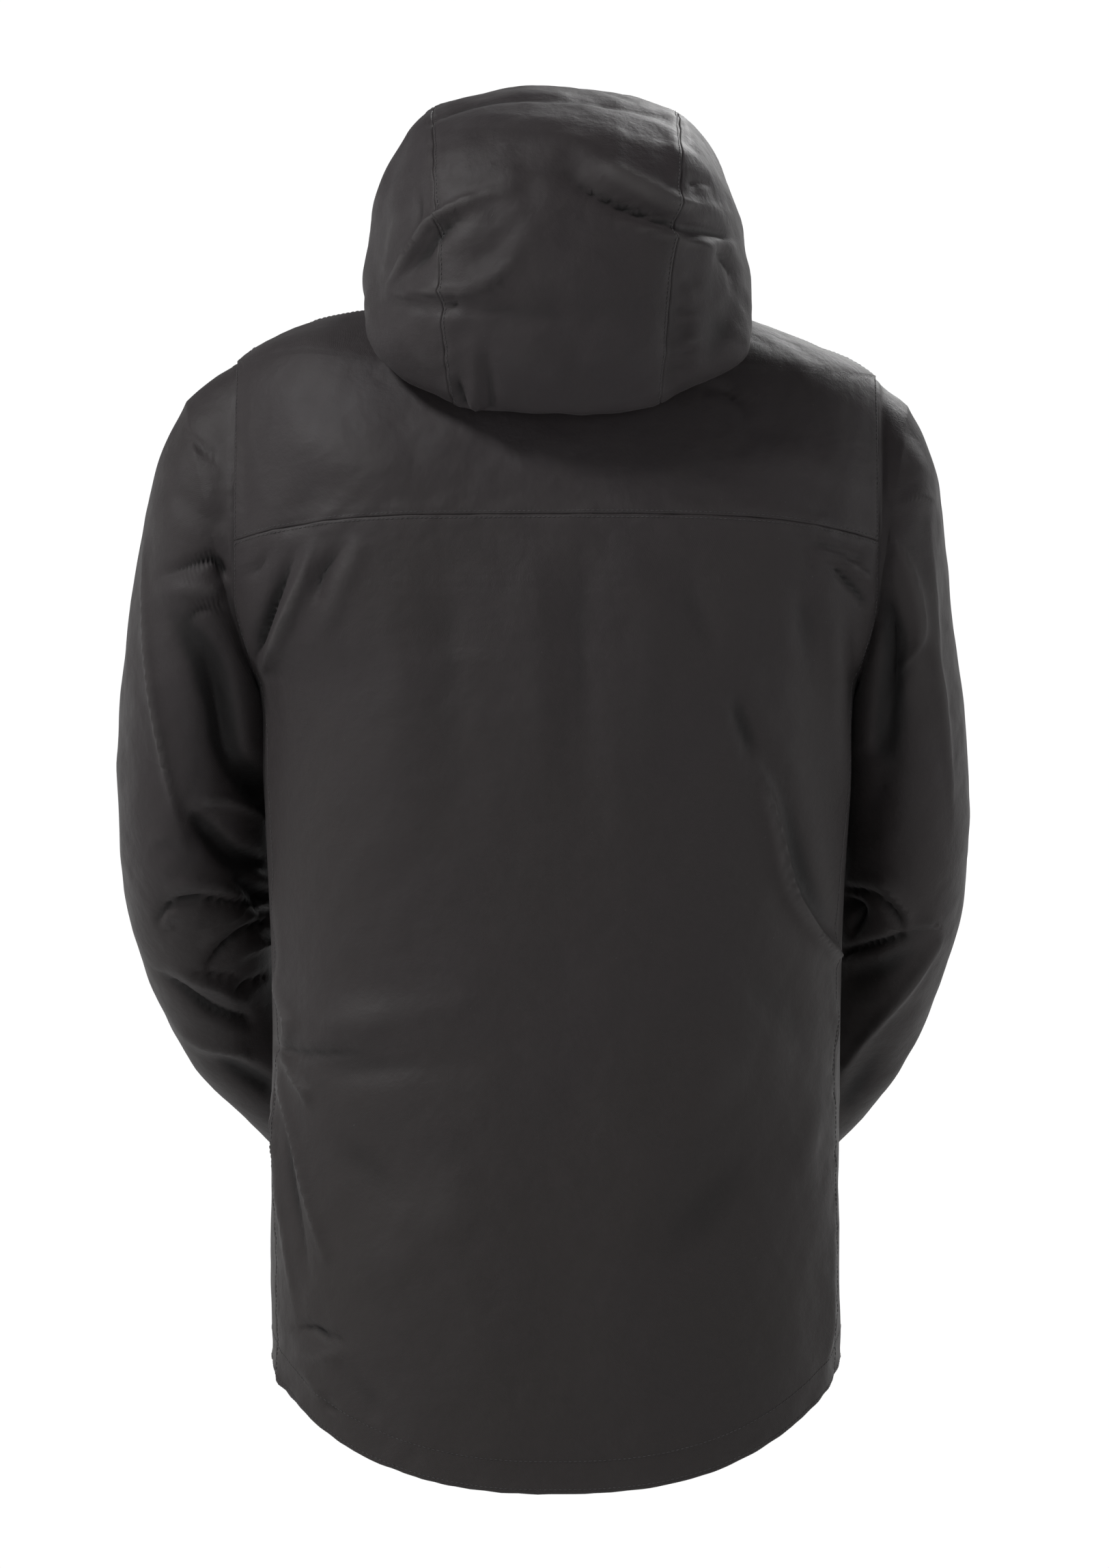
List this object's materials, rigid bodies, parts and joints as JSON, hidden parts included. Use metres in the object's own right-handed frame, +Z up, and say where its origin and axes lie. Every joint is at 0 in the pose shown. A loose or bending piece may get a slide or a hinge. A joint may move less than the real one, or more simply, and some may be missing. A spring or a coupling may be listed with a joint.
{
  "type": "hooded shell jacket",
  "caption": "Hip-length hooded waterproof shell jacket on an unseen wearer: front zip, zipped hand pockets, cuff tabs, dropped tail.",
  "frame": {"origin": "middle of the neck opening, where the wearer's neck and shoulders hold the jacket up", "axes": "+X to the wearer's left, -Y ahead of the wearer, +Z up"},
  "size_m": [0.6117, 0.442, 0.99],
  "materials": {
    "shell": "matte woven face fabric, laminated to a waterproof membrane",
    "lining": "brushed tricot lining",
    "tape": "woven zip tape with a waterproof coating",
    "plastic": "moulded nylon and acetal",
    "metal": "black painted zinc"
  },
  "bodies": {
    "jacket": {"back_panel": "shell", "back_yoke": "shell", "front_panel_left": "shell", "front_panel_right": "shell", "front_yoke_left": "shell", "front_yoke_right": "shell", "side_panel_left": "shell", "side_panel_right": "shell", "inner_collar": "lining", "chin_guard": "lining", "hanger_loop": "tape", "zip_tape_left": "tape", "zip_tape_right": "tape", "zip_coil_left": "plastic", "zip_coil_right": "plastic", "zip_retainer_box": "plastic", "storm_flap": "shell", "pocket_zip_left": "tape", "pocket_zip_right": "tape", "pocket_bag_left": "lining", "pocket_bag_right": "lining", "hem_tunnel": "lining", "hem_eyelet_left": "metal", "hem_eyelet_right": "metal"},
    "hood": {"hood_centre_panel": "shell", "hood_side_left": "shell", "hood_side_right": "shell", "hood_brim": "shell", "brim_stiffener": "plastic", "hood_eyelet_left": "metal", "hood_eyelet_right": "metal"},
    "zip_slider": {"zip_slider": "metal"},
    "zip_pull": {"zip_pull_tab": "metal", "zip_puller": "plastic"},
    "upper_sleeve_left": {"sleeve_front_left": "shell", "sleeve_back_left": "shell", "elbow_panel_left": "shell"},
    "lower_sleeve_left": {"forearm_front_left": "shell", "forearm_back_left": "shell", "cuff_left": "shell", "cuff_patch_left": "lining"},
    "cuff_tab_left": {"cuff_tab_left": "shell"},
    "pocket_slider_left": {"pocket_left_slider": "metal"},
    "pocket_pull_left": {"pocket_left_pull_tab": "metal"},
    "upper_sleeve_right": {"sleeve_front_right": "shell", "sleeve_back_right": "shell", "elbow_panel_right": "shell"},
    "lower_sleeve_right": {"forearm_front_right": "shell", "forearm_back_right": "shell", "cuff_right": "shell", "cuff_patch_right": "lining"},
    "cuff_tab_right": {"cuff_tab_right": "shell"},
    "pocket_slider_right": {"pocket_right_slider": "metal"},
    "pocket_pull_right": {"pocket_right_pull_tab": "metal"}
  },
  "joints": [
    {"name": "hood_raise", "type": "hinge", "parent": "jacket", "child": "hood", "pos_m": [0, -0.094, -0.04], "axis": [1, 0, 0], "range_deg": [0, 12]},
    {"name": "front_zip_slide", "type": "slide", "parent": "jacket", "child": "zip_slider", "axis": [0, -0.0989, -0.9951], "range_m": [0, 0.785]},
    {"name": "front_zip_pull", "type": "hinge", "parent": "zip_slider", "child": "zip_pull", "pos_m": [0, -0.08882, 0.04631], "axis": [1, 0, 0], "range_deg": [-100, 0]},
    {"name": "sleeve_lift_left", "type": "hinge", "parent": "jacket", "child": "upper_sleeve_left", "pos_m": [0.226, 0, -0.048], "axis": [0, -1, 0], "range_deg": [0, 8]},
    {"name": "elbow_bend_left", "type": "hinge", "parent": "upper_sleeve_left", "child": "lower_sleeve_left", "pos_m": [0.26548, -0.04, -0.372], "axis": [-0.9404, 0.3401, 0], "range_deg": [0, 35], "deforming": ["elbow_panel_left"]},
    {"name": "cuff_tab_peel_left", "type": "hinge", "parent": "lower_sleeve_left", "child": "cuff_tab_left", "pos_m": [0.14669, -0.16146, -0.65227], "axis": [0.572, 0.4275, 0.7], "range_deg": [0, 80]},
    {"name": "pocket_zip_slide_left", "type": "slide", "parent": "jacket", "child": "pocket_slider_left", "axis": [0, -0.0938, -0.9956], "range_m": [0, 0.135]},
    {"name": "pocket_zip_pull_left", "type": "hinge", "parent": "pocket_slider_left", "child": "pocket_pull_left", "pos_m": [0.08254, -0.13761, -0.51757], "axis": [0.9752, 0.2205, -0.0208], "range_deg": [-100, 0]},
    {"name": "sleeve_lift_right", "type": "hinge", "parent": "jacket", "child": "upper_sleeve_right", "pos_m": [-0.226, 0, -0.048], "axis": [0, 1, 0], "range_deg": [0, 8]},
    {"name": "elbow_bend_right", "type": "hinge", "parent": "upper_sleeve_right", "child": "lower_sleeve_right", "pos_m": [-0.25448, -0.04, -0.372], "axis": [-0.9404, -0.3401, 0], "range_deg": [0, 35], "deforming": ["elbow_panel_right"]},
    {"name": "cuff_tab_peel_right", "type": "hinge", "parent": "lower_sleeve_right", "child": "cuff_tab_right", "pos_m": [-0.14682, -0.16141, -0.65219], "axis": [0.5647, -0.4302, -0.7043], "range_deg": [0, 80]},
    {"name": "pocket_zip_slide_right", "type": "slide", "parent": "jacket", "child": "pocket_slider_right", "axis": [0, -0.0938, -0.9956], "range_m": [0, 0.135]},
    {"name": "pocket_zip_pull_right", "type": "hinge", "parent": "pocket_slider_right", "child": "pocket_pull_right", "pos_m": [-0.08254, -0.13761, -0.51757], "axis": [0.9752, -0.2205, 0.0208], "range_deg": [-100, 0]}
  ]
}
